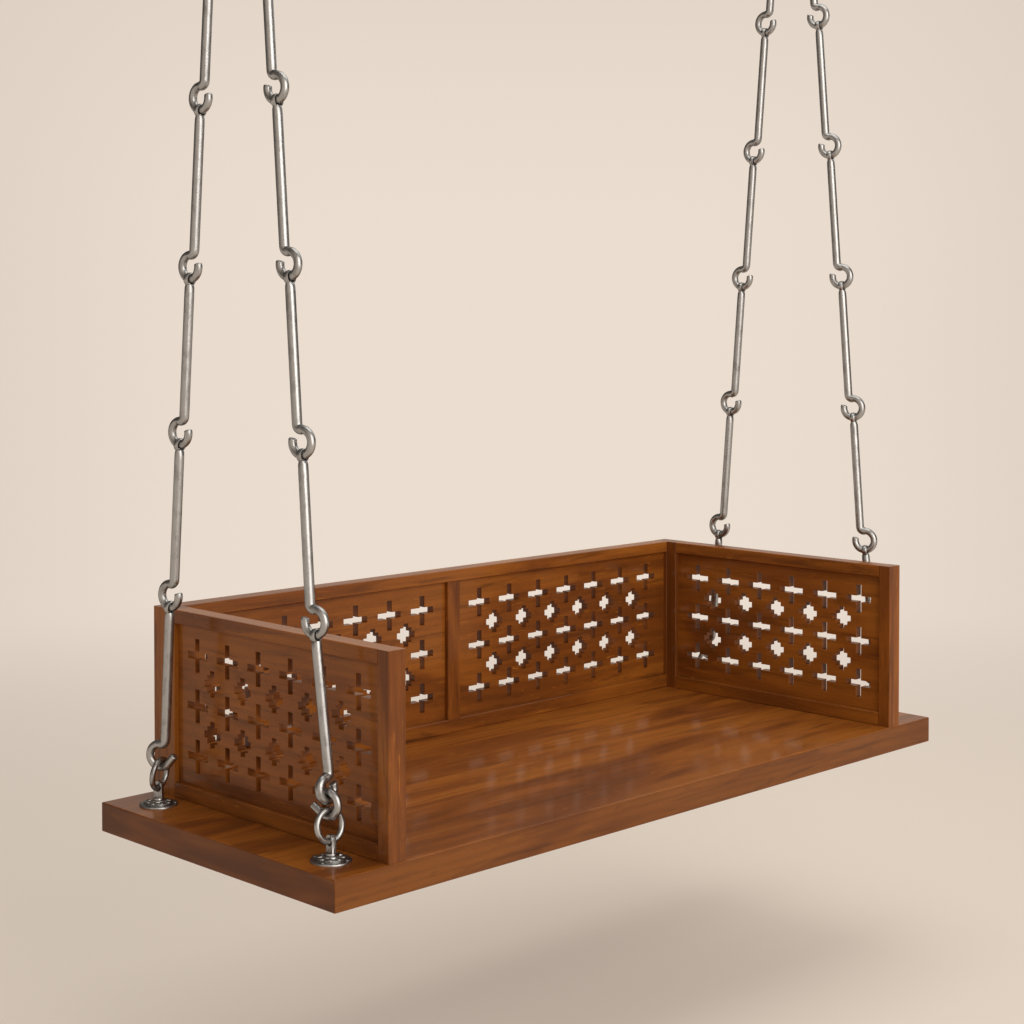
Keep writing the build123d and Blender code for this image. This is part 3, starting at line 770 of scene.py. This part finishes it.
class JHOOLA_OT_open_links(Operator):
    """Bend the open links at the front chains' feet"""

    bl_idname = "jhoola.open_links"
    bl_label = "Open links"

    def execute(self, context):
        scene = context.scene
        sizes = scene.jhoola_chains
        model, tip_end = bend_from_tip(
            "open_link_model", sizes.link_bar, sizes.link_radius, sizes.link_tip,
            sizes.link_tip_length, sizes.link_upper
        )
        round_end(tip_end, sizes.link_bar)
        round_end(circle_point(sizes.link_radius, sizes.link_upper), sizes.link_bar)
        close_shape()
        smooth(model)
        foot, _ = foot_place(sizes, scene.jhoola_anchors)
        rise = sizes.link_radius + sizes.bar_radius - sizes.link_bar
        for side_name, side in SIDES:
            twist = getattr(sizes, f"{side_name}_front_twist") * side
            place = corner(sizes, side, -1) @ foot @ turned("Z", twist) @ moved(0, 0, rise)
            name = f"{side_name}_front_open_link"
            piece = copy_to(model, place, f"{name}_bent")
            settle(piece, f"{side_name}_chains", name, "steel_bar_buffed")
        bpy.data.objects.remove(model)
        return {"FINISHED"}


# ---- anchors
WELD_AT = 0.5  # radians round from a ring's side to the low place where it was welded shut
WELD_SWELL = 1.07
WELD_REACH = 1.15  # how far the weld reaches, in bar radii
LUG_EDGE = 1.1 * MM
LUG_FLARE = 1.04  # how much wider the lug is at its foot
COLLAR_LEDGE = 0.2 * MM
# the collar as rises, in shares of its height, each with its scale
COLLAR_PROFILE = ((0.55, 1.0), (0.3, 0.94), (0.15, 0.86))
SECOND_TIER_FROM = 0.827  # the rose's radius inside its first tier's groove, in rose radii
HUB_FLARE = 1.12  # how far the hub spreads at its foot
PETAL_SHAPE = (1.15, 0.95)  # a petal's length and width, in petal radii
PETAL_NARROWING = 0.72  # of its width, towards the hub
PETAL_WAIST = 0.3  # where a petal starts to narrow, in petal radii towards the hub
SUNK = 0.2 * MM  # how deep a petal sits in its plate
BOLT_PLAY = 0.25 * MM


def anchor_places(chains, anchors, height=0.0, lean=0.0):
    """The four places where the chains meet the plank, turned as the chains turn them."""
    places = []
    for side_name, side in SIDES:
        twist = getattr(chains, f"{side_name}_back_twist") * -side
        for end_name, end in ENDS:
            turn = -side * (chains.back_hook_turn + twist) if end_name == "back" else 0.0
            stand = moved(side * chains.chain_x, end * anchors.anchor_y, height)
            places.append(stand @ turned("X", end * lean) @ turned("Z", turn))
    return places


class JHOOLA_OT_anchor_rings(Operator):
    """Bend and weld the closed rings in the lugs"""

    bl_idname = "jhoola.anchor_rings"
    bl_label = "Anchor rings"

    def execute(self, context):
        chains, anchors = context.scene.jhoola_chains, context.scene.jhoola_anchors
        radius = anchors.ring_radius
        model = start_bar("ring_model", anchors.ring_bar, (radius, 0, 0), ORIGIN, filled=False)
        bend(TURN, ORIGIN, "Y", 40)
        weld = Vector((-radius * cos(WELD_AT), 0, -radius * sin(WELD_AT)))
        reach = anchors.ring_bar * WELD_REACH
        select("VERT", lambda place, normal: (place - weld).length < reach)
        resize((WELD_SWELL,) * 3, weld)
        close_shape()
        smooth(model)
        lean = asin(anchors.ring_lean / (2 * radius))
        stands = anchor_places(chains, anchors, ring_bottom(anchors), lean)
        settle_copies(
            model, [stand @ moved(0, 0, radius) for stand in stands], "anchor_rings_welded",
            "seat", "anchor_rings", "steel_bar_buffed"
        )
        return {"FINISHED"}


class JHOOLA_OT_eye_bolts(Operator):
    """Forge the eye bolts with their flat lugs"""

    bl_idname = "jhoola.eye_bolts"
    bl_label = "Eye bolts"

    def execute(self, context):
        chains, anchors = context.scene.jhoola_chains, context.scene.jhoola_anchors
        half = anchors.lug_width / 2
        foot = anchors.plank_top + anchors.rose_base + anchors.rose_tier + anchors.hub_height
        round_z = anchors.plank_top + anchors.lug_height - half
        across = (0, pi / 2, 0)
        clear_selection()
        bpy.ops.mesh.primitive_cylinder_add(
            vertices=40, radius=half, depth=anchors.lug_thickness, location=(0, 0, round_z),
            rotation=across
        )
        bpy.ops.object.transform_apply(location=True, rotation=True, scale=True)
        lug = bpy.context.object
        bpy.ops.object.mode_set(mode="EDIT")
        # the lower half of the round is drawn down to a straight foot
        select("VERT", lambda place, normal: place.z < round_z - MERGE_GAP)
        resize((1, 1, 0), (0, 0, round_z))
        bpy.ops.transform.translate(value=(0, 0, foot - round_z))
        select("VERT", lambda place, normal: place.z < foot + MERGE_GAP)
        resize((1, LUG_FLARE, 1), (0, 0, foot))
        close_shape()
        hole_place = (0, 0, anchors.plank_top + anchors.lug_hole_height)
        drill(lug, anchors.lug_hole, anchors.lug_thickness * 2, hole_place, 36, across)
        ease_edges(lug, LUG_EDGE, 3)
        shank = start_bar("shank", anchors.bolt_radius, (0, 0, anchors.bolt_end), ORIGIN, 32)
        turn_up((
            (foot - anchors.bolt_end - COLLAR_LEDGE, 1.0),
            (COLLAR_LEDGE, anchors.collar_radius / anchors.bolt_radius),
            *((anchors.collar_height * share, scale) for share, scale in COLLAR_PROFILE),
        ))
        close_shape()
        join_with(lug, shank)
        smooth(lug, SHARP)
        settle_copies(
            lug, anchor_places(chains, anchors), "eye_bolts_forged",
            "seat", "eye_bolts", "steel_cast_buffed"
        )
        return {"FINISHED"}


class JHOOLA_OT_rose_plates(Operator):
    """Cast the ornamental plates under the lugs"""

    bl_idname = "jhoola.rose_plates"
    bl_label = "Rose plates"

    def execute(self, context):
        chains, anchors = context.scene.jhoola_chains, context.scene.jhoola_anchors
        base = (0, 0, anchors.plank_top)
        plate = start_bar("rose_model", anchors.rose_radius, base, ORIGIN, sides=96)
        second = anchors.rose_tier_radius / (anchors.rose_radius * SECOND_TIER_FROM)
        hub = anchors.hub_radius / anchors.rose_tier_radius * HUB_FLARE
        # each tier as rises, in shares of its height, each with its scale
        for height, profile in (
            (anchors.rose_base, ((0.55, 1.0), (0.3, 0.975), (0.15, 0.95))),
            (anchors.rose_base, ((-0.2, 0.94), (-0.1, 0.95), (0.3, second))),
            (anchors.rose_tier, ((0.6, 1.0), (0.4, 0.95), (0.0, hub))),
            (anchors.hub_height, ((0.35, 0.94), (0.45, 1.0), (0.2, 0.9))),
        ):
            turn_up([(height * share, scale) for share, scale in profile])
        close_shape()
        clear_selection()
        radius = anchors.petal_radius
        bpy.ops.mesh.primitive_uv_sphere_add(segments=20, ring_count=12, radius=radius)
        petal = bpy.context.object
        bpy.ops.object.mode_set(mode="EDIT")
        resize((*PETAL_SHAPE, anchors.petal_height / radius))
        # each petal narrows towards the hub
        select("VERT", lambda place, normal: place.x < -radius * PETAL_WAIST)
        resize((1, PETAL_NARROWING, 1))
        bpy.ops.mesh.select_all(action="SELECT")
        petal_z = anchors.plank_top + anchors.rose_base + anchors.rose_tier - SUNK
        bpy.ops.transform.translate(value=(anchors.petal_ring, 0, petal_z))
        close_shape()
        for index in range(anchors.petals):
            leaf = copy_to(petal, turned("Z", TURN * index / anchors.petals), "petal")
            join_with(plate, leaf)
        bpy.data.objects.remove(petal)
        drill(plate, anchors.bolt_radius + BOLT_PLAY, 40 * MM, base, 48)
        smooth(plate, 42)
        settle_copies(
            plate, anchor_places(chains, anchors), "rose_plates_cast",
            "seat", "rose_plates", "steel_cast_buffed"
        )
        return {"FINISHED"}


# ---- over the seat
# the ceiling plate's rim as rises, in shares of its height, each with its scale
RIM_PROFILE = ((-0.7, 1.0), (-0.2, 0.985), (-0.1, 0.965))
PLATE_EDGE = 0.4 * MM
SHANK_PLAY = 0.1 * MM


def overhead(scene):
    """The heights of the hanger's bar, the ceiling hook's bar and the ceiling."""
    chains, anchors, sizes = scene.jhoola_chains, scene.jhoola_anchors, scene.jhoola_ceiling
    foot, lean = foot_place(chains, anchors)
    hanger_z = foot.translation.z + chains.pitch * chains.rods * cos(lean)
    rise = 2 * sizes.hanger_corner + sizes.hanger_side + sizes.hanger_half_bar
    hook_z = hanger_z + rise - 2 * chains.bar_radius - chains.clearance
    ceiling_z = hook_z + 2 * chains.hook_radius + chains.bend_radius + sizes.shank_length
    return hanger_z, hook_z, ceiling_z


class JHOOLA_OT_hangers(Operator):
    """Bend the hanger rings that gather the chains"""

    bl_idname = "jhoola.hangers"
    bl_label = "Hanger rings"

    def execute(self, context):
        scene = context.scene
        chains, sizes = scene.jhoola_chains, scene.jhoola_ceiling
        hanger_z, _, _ = overhead(scene)
        half, round_by, side_z = sizes.hanger_half_bar, sizes.hanger_corner, sizes.hanger_side
        model = start_bar("hanger_model", chains.bar_radius, ORIGIN, (-pi / 2, 0, 0), filled=False)
        draw_out((0, half, 0))
        bend(pi / 2, (0, half, round_by), "X", 8)
        draw_out((0, 0, side_z))
        bend(pi, (0, 0, round_by + side_z), "X", 22)
        draw_out((0, 0, -side_z))
        bend(pi / 2, (0, -half, round_by), "X", 8)
        draw_out((0, half, 0))
        close_shape()
        smooth(model)
        for side_name, side in SIDES:
            name = f"{side_name}_hanger_ring"
            piece = copy_to(model, moved(side * chains.chain_x, 0, hanger_z), f"{name}_bent")
            settle(piece, f"{side_name}_hanger", name, "steel_bar_buffed")
        bpy.data.objects.remove(model)
        return {"FINISHED"}


class JHOOLA_OT_ceiling_fittings(Operator):
    """Forge the ceiling hooks and turn their plates"""

    bl_idname = "jhoola.ceiling_fittings"
    bl_label = "Ceiling fittings"

    def execute(self, context):
        scene = context.scene
        chains, sizes = scene.jhoola_chains, scene.jhoola_ceiling
        _, hook_z, ceiling_z = overhead(scene)
        radius = chains.hook_radius
        hook, tip_end = bend_from_tip(
            "ceiling_hook_model", chains.bar_radius, radius, chains.hook_tip, 0, pi / 2
        )
        bend(-pi / 2, (0, 0, radius + chains.bend_radius), "X", ELBOW_STEPS)
        taper_end = (0, -chains.bend_radius, radius + chains.bend_radius + chains.taper)
        draw_out((0, 0, chains.taper), chains.rod_radius / chains.bar_radius, taper_end)
        draw_out((0, 0, sizes.shank_length - chains.taper))
        round_end(tip_end, chains.bar_radius)
        close_shape()
        hook.data.transform(moved(0, 0, radius) @ turned("Z", pi / 2))
        smooth(hook)
        top = (0, 0, sizes.plate_height)
        plate = start_bar("ceiling_plate_model", sizes.plate_radius, top, ORIGIN, sides=72)
        inner = sizes.plate_radius
        for share, scale in RIM_PROFILE:
            inner *= scale
            turn_up([(sizes.plate_height * share, scale)])
        narrowed = (chains.rod_radius + sizes.boss_lip) / sizes.boss_radius
        turn_up(((0, sizes.boss_radius / inner), (-sizes.boss_height, narrowed)))
        close_shape()
        holes = [(0, 0, chains.rod_radius + SHANK_PLAY)]
        for index in range(4):
            at = pi / 4 + index * pi / 2
            holes.append((sizes.hole_ring * cos(at), sizes.hole_ring * sin(at), sizes.hole_radius))
        for x, y, hole in holes:
            drill(plate, hole, 60 * MM, (x, y, 0), 32)
        ease_edges(plate, PLATE_EDGE, 2)
        smooth(plate, SHARP)
        hook_places, plate_places = [], []
        for _, side in SIDES:
            over = moved(side * chains.chain_x, 0, 0) @ Matrix.Diagonal((-side, 1, 1, 1))
            hook_places.append(over @ moved(0, 0, hook_z))
            plate_places.append(
                over @ moved(chains.bend_radius, 0, ceiling_z - sizes.plate_height)
            )
        settle_copies(
            hook, hook_places, "ceiling_hooks_forged",
            "ceiling", "ceiling_hooks", "steel_bar_buffed"
        )
        settle_copies(
            plate, plate_places, "ceiling_plates_turned",
            "ceiling", "ceiling_plates", "steel_cast_buffed"
        )
        return {"FINISHED"}


# ---- stage
SEAT_HEIGHT = 450 * MM
# the camera as it is set up: its place in metres, its turn in degrees, its lens in millimetres
# and its shift
EYE_POINT = (-2.4373, -2.3440, 0.8518)
EYE_TURN = (88.53, 0, -44.809)
LENS = 65.96
SHIFT = -0.1484
BACKDROP_AXIS = (0.706, 0.708, 0)  # level, from the seat towards the middle of the backdrop
# where the backdrop is palest and where it has its side colour, a painted shade that darkens it to
# the sides, as cosines from its axis
SIDE_FROM, SIDE_TO = 0.998, 0.955
# heights of a direction where the backdrop starts to fall off into painted shade, and where it has
# done so
ABOVE_FROM, ABOVE_TO = 0.03, 0.3
# metres from the seat's middle where the floor starts to run into the backdrop, and has done so
FLOOR_FROM, FLOOR_TO = 1.2, 5.0
FLOOR_LIFT = 0.26  # how much of the backdrop's light the floor has near the seat
ROOM_LEVEL = 0.16  # the room beside the backdrop, as bright metal meets it
# where that dimness ends, as cosines from the backdrop's axis: behind the seat and before it
BRIGHT_ENDS = ((0.8, 0.94), (-0.1, -0.9))
FILL_COLOUR = (1.0, 0.98, 0.95, 1)
FILL_LEVEL = 0.5
LAMP_COLOUR = (1.0, 0.985, 0.96)
# each lamp's place, what it points at, its width in metres and its power in watts
SOFTBOXES = {
    "overhead_softbox": ((0.3, 0.0, 3.3), ORIGIN, 2.6, 38),
    "right_softbox": ((2.6, 0.2, 2.8), ORIGIN, 3.2, 27),
    "front_softbox": ((-0.7, -3.9, 1.8), (0, 0, 0.1), 3.8, 112),
}


def background_rays(tree):
    """1 for the rays that should meet the pale backdrop: camera, glossy and transmission rays."""
    rays = add_node(tree, "LightPath").outputs
    met = rays["Is Camera Ray"]
    for kind in ("Is Glossy Ray", "Is Transmission Ray"):
        met = add_node(tree, "Math", {"operation": "MAXIMUM"}, {0: met, 1: rays[kind]})
    return met


def sideways(tree, direction, finish):
    """The backdrop's colour level with the eye, made a little deeper to both sides by painted
    shade.
    """
    flat = direction
    for operation, inputs in (("MULTIPLY", {1: (1, 1, 0)}), ("NORMALIZE", {})):
        flat = add_node(tree, "VectorMath", {"operation": operation}, {0: flat, **inputs})
    towards = add_node(
        tree, "VectorMath", {"operation": "DOT_PRODUCT"}, {0: flat, 1: BACKDROP_AXIS}
    )
    # painted shade: the backdrop deepens to its side colour away from its axis
    share = add_node(
        tree, "MapRange", SMOOTHSTEP, {"Value": towards, "From Min": SIDE_FROM, "From Max": SIDE_TO}
    )
    return add_node(
        tree, "Mix", COLOURS, {0: share, 6: opaque(finish.wall), 7: opaque(finish.wall_side)}
    )


def lay_floor(scene):
    """Lay the pale floor, which keeps the swing's shadow and runs into the backdrop."""
    finish = scene.jhoola_finish
    clear_selection()
    bpy.ops.mesh.primitive_circle_add(
        vertices=96, radius=60, fill_type="TRIFAN",
        location=(0, 0, scene.jhoola_anchors.plank_top - SEAT_HEIGHT)
    )
    floor = bpy.context.object
    floor.name = "floor"
    bpy.ops.object.transform_apply(location=True, rotation=True, scale=True)
    material, tree = new_material("floor_matt_paint")
    place = add_node(tree, "TexCoord").outputs["Object"]
    distance = add_node(tree, "VectorMath", {"operation": "LENGTH"}, {0: place})
    far = add_node(
        tree, "MapRange", SMOOTHSTEP,
        {"Value": distance, "From Min": FLOOR_FROM, "From Max": FLOOR_TO, "To Min": FLOOR_LIFT},
    )
    fade = add_node(tree, "Math", {"operation": "MULTIPLY"}, {0: far, 1: background_rays(tree)})
    near = add_node(tree, "BsdfDiffuse", inputs={"Color": opaque(finish.floor)})
    # directions from the one fixed place where the camera is set up, so that the floor meets the
    # backdrop without a seam there; it doesn't follow a camera that is moved
    view = add_node(
        tree, "VectorMath", {"operation": "SUBTRACT"},
        {0: add_node(tree, "NewGeometry").outputs["Position"], 1: EYE_POINT},
    )
    view = add_node(tree, "VectorMath", {"operation": "NORMALIZE"}, {0: view})
    wall = add_node(
        tree, "Emission", inputs={"Color": sideways(tree, view, finish), "Strength": 1.0}
    )
    shown = add_node(tree, "MixShader", inputs={0: fade, 1: near, 2: wall})
    add_node(tree, "OutputMaterial", inputs={"Surface": shown})
    floor.data.materials.append(material)


def paint_room(scene):
    """Paint the backdrop, palest at eye level with painted shade to the sides and above, and fill
    the room with an even light.
    """
    finish = scene.jhoola_finish
    world = bpy.data.worlds.new("studio")
    scene.world = world
    world.use_nodes = True
    tree = world.node_tree
    tree.nodes.clear()
    fill = add_node(tree, "Background", inputs={"Color": FILL_COLOUR, "Strength": FILL_LEVEL})
    direction = add_node(tree, "TexCoord").outputs["Generated"]
    height = add_node(tree, "SeparateXYZ", inputs={0: direction}).outputs["Z"]
    above = add_node(
        tree, "MapRange", SMOOTHSTEP,
        {"Value": height, "From Min": ABOVE_FROM, "From Max": ABOVE_TO},
    )
    # painted shade: the backdrop turns to its darker colour well above the seat
    paint = add_node(
        tree, "Mix", COLOURS,
        {0: above, 6: sideways(tree, direction, finish), 7: opaque(finish.wall_above)},
    )
    # the room is dimmer beside the backdrop, which gives bright metal its dark flanks
    towards = add_node(
        tree, "VectorMath", {"operation": "DOT_PRODUCT"}, {0: direction, 1: BACKDROP_AXIS}
    )
    level = add_node(tree, "LightPath").outputs["Is Camera Ray"]
    for dim, bright in BRIGHT_ENDS:
        lit = add_node(
            tree, "MapRange", SMOOTHSTEP,
            {"Value": towards, "From Min": dim, "From Max": bright, "To Min": ROOM_LEVEL},
        )
        level = add_node(tree, "Math", {"operation": "MAXIMUM"}, {0: level, 1: lit})
    wall = add_node(tree, "Background", inputs={"Color": paint, "Strength": level})
    shown = add_node(tree, "MixShader", inputs={0: background_rays(tree), 1: fill, 2: wall})
    add_node(tree, "OutputWorld", inputs={"Surface": shown})


def hang_softboxes(scene):
    """Hang the soft lights round the swing."""
    for name, (place, target, size, power) in SOFTBOXES.items():
        light = bpy.data.lights.new(name, "AREA")
        light.energy = power
        light.size = size
        light.color = LAMP_COLOUR
        lamp = bpy.data.objects.new(name, light)
        lamp.location = place
        aim = Vector(target) - Vector(place)
        lamp.rotation_euler = aim.to_track_quat("-Z", "Y").to_euler()
        scene.collection.objects.link(lamp)


def set_camera(scene):
    """Stand the camera before the swing."""
    camera = bpy.data.cameras.new("camera")
    camera.lens = LENS
    camera.sensor_width = 36
    camera.shift_y = SHIFT
    camera.clip_end = 200
    viewer = bpy.data.objects.new("camera", camera)
    viewer.location = EYE_POINT
    viewer.rotation_euler = [radians(turn) for turn in EYE_TURN]
    scene.collection.objects.link(viewer)
    scene.camera = viewer


class JHOOLA_OT_stage(Operator):
    """Set the pale floor, the backdrop, the soft lights and the camera"""

    bl_idname = "jhoola.stage"
    bl_label = "Stage"

    def execute(self, context):
        for step in (lay_floor, paint_room, hang_softboxes, set_camera):
            step(context.scene)
        context.scene.view_settings.view_transform = "Standard"
        return {"FINISHED"}


# ---- panel
OPERATORS = (
    JHOOLA_OT_metals,
    JHOOLA_OT_woodwork,
    JHOOLA_OT_chain_rods,
    JHOOLA_OT_open_links,
    JHOOLA_OT_anchor_rings,
    JHOOLA_OT_eye_bolts,
    JHOOLA_OT_rose_plates,
    JHOOLA_OT_hangers,
    JHOOLA_OT_ceiling_fittings,
    JHOOLA_OT_stage,
)
GROUPS = {
    "jhoola_chains": JhoolaChainSizes,
    "jhoola_anchors": JhoolaAnchorSizes,
    "jhoola_ceiling": JhoolaCeilingSizes,
    "jhoola_finish": JhoolaFinish,
}


class JHOOLA_PT_panel(Panel):
    """Lists the pieces of the swing and their sizes"""

    bl_idname = "JHOOLA_PT_panel"
    bl_label = "Jhoola swing"
    bl_space_type = "VIEW_3D"
    bl_region_type = "UI"
    bl_category = "Jhoola"

    def draw(self, context):
        layout = self.layout
        for operator in OPERATORS:
            layout.operator(operator.bl_idname)
        for group in GROUPS:
            settings = getattr(context.scene, group)
            box = layout.box()
            for name in settings.bl_rna.properties.keys():
                if name not in ("rna_type", "name"):
                    box.prop(settings, name)


def register():
    """Register the classes and hang the settings on the scene."""
    for group, kind in GROUPS.items():
        bpy.utils.register_class(kind)
        setattr(bpy.types.Scene, group, PointerProperty(type=kind))
    for kind in (*OPERATORS, JHOOLA_PT_panel):
        bpy.utils.register_class(kind)


def unregister():
    """Take the classes and the settings away again."""
    for kind in reversed((*OPERATORS, JHOOLA_PT_panel)):
        bpy.utils.unregister_class(kind)
    for group, kind in GROUPS.items():
        delattr(bpy.types.Scene, group)
        bpy.utils.unregister_class(kind)


def main():
    """Make the whole swing."""
    register()
    bpy.ops.jhoola.metals()
    bpy.ops.jhoola.woodwork()
    bpy.ops.jhoola.chain_rods()
    bpy.ops.jhoola.open_links()
    bpy.ops.jhoola.anchor_rings()
    bpy.ops.jhoola.eye_bolts()
    bpy.ops.jhoola.rose_plates()
    bpy.ops.jhoola.hangers()
    bpy.ops.jhoola.ceiling_fittings()
    bpy.ops.jhoola.stage()
    clear_selection()


if __name__ == "__main__":
    main()
